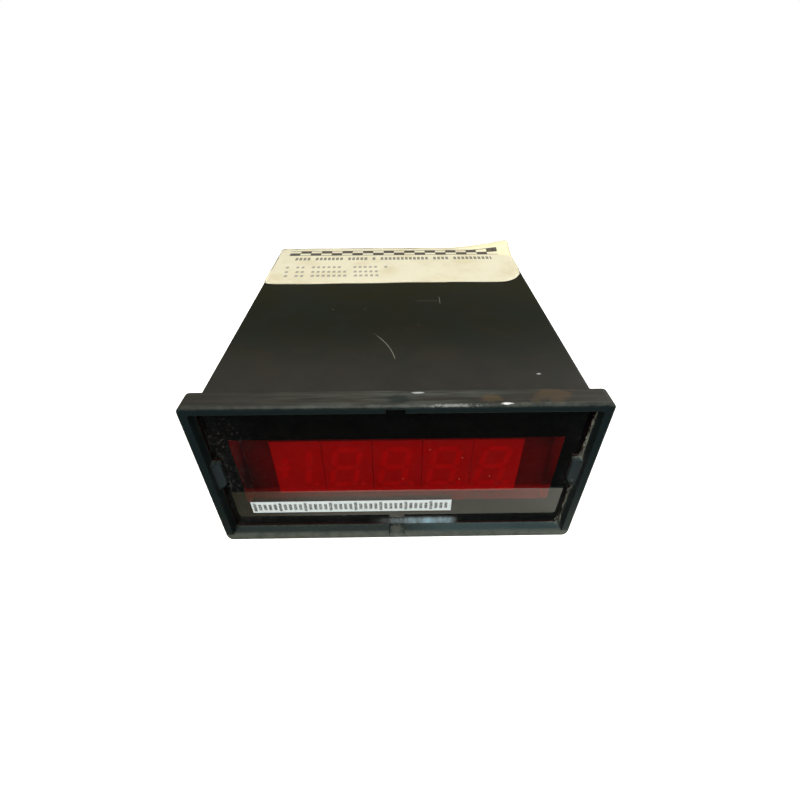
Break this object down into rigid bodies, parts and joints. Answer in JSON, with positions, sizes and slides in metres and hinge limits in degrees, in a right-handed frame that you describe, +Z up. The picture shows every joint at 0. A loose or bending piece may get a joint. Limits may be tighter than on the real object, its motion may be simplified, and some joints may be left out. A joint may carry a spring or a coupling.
{
  "type": "digital panel meter",
  "caption": "Panel-mounting digital meter: a black flanged case with a red window over seven-segment modules, and screw terminals behind.",
  "frame": {"origin": "centre of the flange's rear face, where the flange meets the panel", "axes": "+Y into the panel along the case, +Z up, +X to the right as seen from the front"},
  "size_m": [0.096, 0.1085, 0.048],
  "materials": {
    "case_plastic": "satin moulded black",
    "cover_plastic": "fine matt black",
    "lens_acrylic": "polished red",
    "mask_print": "black screen print",
    "strip_print": "pale printed foil",
    "label_paper": "aged cream paper",
    "circuit_board": "green glass-epoxy",
    "display_red": "moulded red",
    "display_bar": "diffused red resin",
    "black_moulding": "moulded black",
    "tinned_metal": "tinned",
    "screw_steel": "zinc plated",
    "brass_screw": "turned brass",
    "trimmer_blue": "moulded blue",
    "core_steel": "stacked sheets",
    "bobbin_nylon": "natural nylon",
    "winding_tape": "yellow tape",
    "capacitor_sleeve": "blue sleeve",
    "film_capacitor": "dipped orange",
    "resistor_body": "painted tan",
    "sink_aluminium": "folded sheet"
  },
  "bodies": {
    "housing": {"case": "case_plastic", "rear_cover": "cover_plastic", "cover_screws": "screw_steel", "rating_label": "label_paper", "display_board": "circuit_board", "link_header": "black_moulding", "link_pins": "tinned_metal", "main_board": "circuit_board", "zero_trimmer_body": "trimmer_blue", "span_trimmer_body": "trimmer_blue", "power_terminal_block": "black_moulding", "signal_terminal_block": "black_moulding", "terminal_tabs": "tinned_metal", "transformer_core": "core_steel", "transformer_bobbin": "bobbin_nylon", "transformer_winding": "winding_tape", "converter_chip": "black_moulding", "chip_legs": "tinned_metal", "chip_socket": "black_moulding", "smoothing_capacitors": "capacitor_sleeve", "film_capacitors": "film_capacitor", "resistors": "resistor_body", "bridge_rectifier": "black_moulding", "heat_sink": "sink_aluminium", "regulator": "black_moulding", "digit_body_1": "display_red", "digit_segments_1": "display_bar", "digit_body_2": "display_red", "digit_segments_2": "display_bar", "digit_body_3": "display_red", "digit_segments_3": "display_bar", "digit_body_4": "display_red", "digit_segments_4": "display_bar", "digit_body_5": "display_red", "digit_segments_5": "display_bar"},
    "lens_unit": {"lens": "lens_acrylic", "lens_mask": "mask_print", "name_strip": "strip_print"},
    "zero_screw": {"zero_trimmer_screw": "brass_screw"},
    "span_screw": {"span_trimmer_screw": "brass_screw"},
    "clamp_1": {"terminal_clamp_1": "screw_steel"},
    "screw_1": {"terminal_screw_1": "screw_steel"},
    "clamp_2": {"terminal_clamp_2": "screw_steel"},
    "screw_2": {"terminal_screw_2": "screw_steel"},
    "clamp_3": {"terminal_clamp_3": "screw_steel"},
    "screw_3": {"terminal_screw_3": "screw_steel"},
    "clamp_4": {"terminal_clamp_4": "screw_steel"},
    "screw_4": {"terminal_screw_4": "screw_steel"},
    "clamp_5": {"terminal_clamp_5": "screw_steel"},
    "screw_5": {"terminal_screw_5": "screw_steel"}
  },
  "joints": [
    {"name": "lens_pull", "type": "slide", "parent": "housing", "child": "lens_unit", "axis": [0, -1, 0], "range_m": [0, 0.012]},
    {"name": "zero_trim_turn", "type": "hinge", "parent": "housing", "child": "zero_screw", "pos_m": [-0.02, 0.0091, -0.0138], "axis": [0, -1, 0], "continuous": true},
    {"name": "span_trim_turn", "type": "hinge", "parent": "housing", "child": "span_screw", "pos_m": [0.02, 0.0091, -0.0138], "axis": [0, -1, 0], "continuous": true},
    {"name": "clamp_lift_1", "type": "slide", "parent": "housing", "child": "clamp_1", "axis": [0, 1, 0], "range_m": [0, 0.0024]},
    {"name": "screw_turn_1", "type": "hinge", "parent": "clamp_1", "child": "screw_1", "pos_m": [-0.0186, 0.0988, -0.01075], "axis": [0, 1, 0], "range_deg": [0, 1440]},
    {"name": "clamp_lift_2", "type": "slide", "parent": "housing", "child": "clamp_2", "axis": [0, 1, 0], "range_m": [0, 0.0024]},
    {"name": "screw_turn_2", "type": "hinge", "parent": "clamp_2", "child": "screw_2", "pos_m": [-0.01035, 0.0988, -0.01075], "axis": [0, 1, 0], "range_deg": [0, 1440]},
    {"name": "clamp_lift_3", "type": "slide", "parent": "housing", "child": "clamp_3", "axis": [0, 1, 0], "range_m": [0, 0.0024]},
    {"name": "screw_turn_3", "type": "hinge", "parent": "clamp_3", "child": "screw_3", "pos_m": [-0.0021, 0.0988, -0.01075], "axis": [0, 1, 0], "range_deg": [0, 1440]},
    {"name": "clamp_lift_4", "type": "slide", "parent": "housing", "child": "clamp_4", "axis": [0, 1, 0], "range_m": [0, 0.0024]},
    {"name": "screw_turn_4", "type": "hinge", "parent": "clamp_4", "child": "screw_4", "pos_m": [0.01035, 0.0988, -0.01075], "axis": [0, 1, 0], "range_deg": [0, 1440]},
    {"name": "clamp_lift_5", "type": "slide", "parent": "housing", "child": "clamp_5", "axis": [0, 1, 0], "range_m": [0, 0.0024]},
    {"name": "screw_turn_5", "type": "hinge", "parent": "clamp_5", "child": "screw_5", "pos_m": [0.0186, 0.0988, -0.01075], "axis": [0, 1, 0], "range_deg": [0, 1440]}
  ],
  "couplings": [
    {"joint": "screw_turn_1", "follows": "clamp_lift_1", "rad_per_m": 10472},
    {"joint": "screw_turn_2", "follows": "clamp_lift_2", "rad_per_m": 10472},
    {"joint": "screw_turn_3", "follows": "clamp_lift_3", "rad_per_m": 10472},
    {"joint": "screw_turn_4", "follows": "clamp_lift_4", "rad_per_m": 10472},
    {"joint": "screw_turn_5", "follows": "clamp_lift_5", "rad_per_m": 10472}
  ]
}
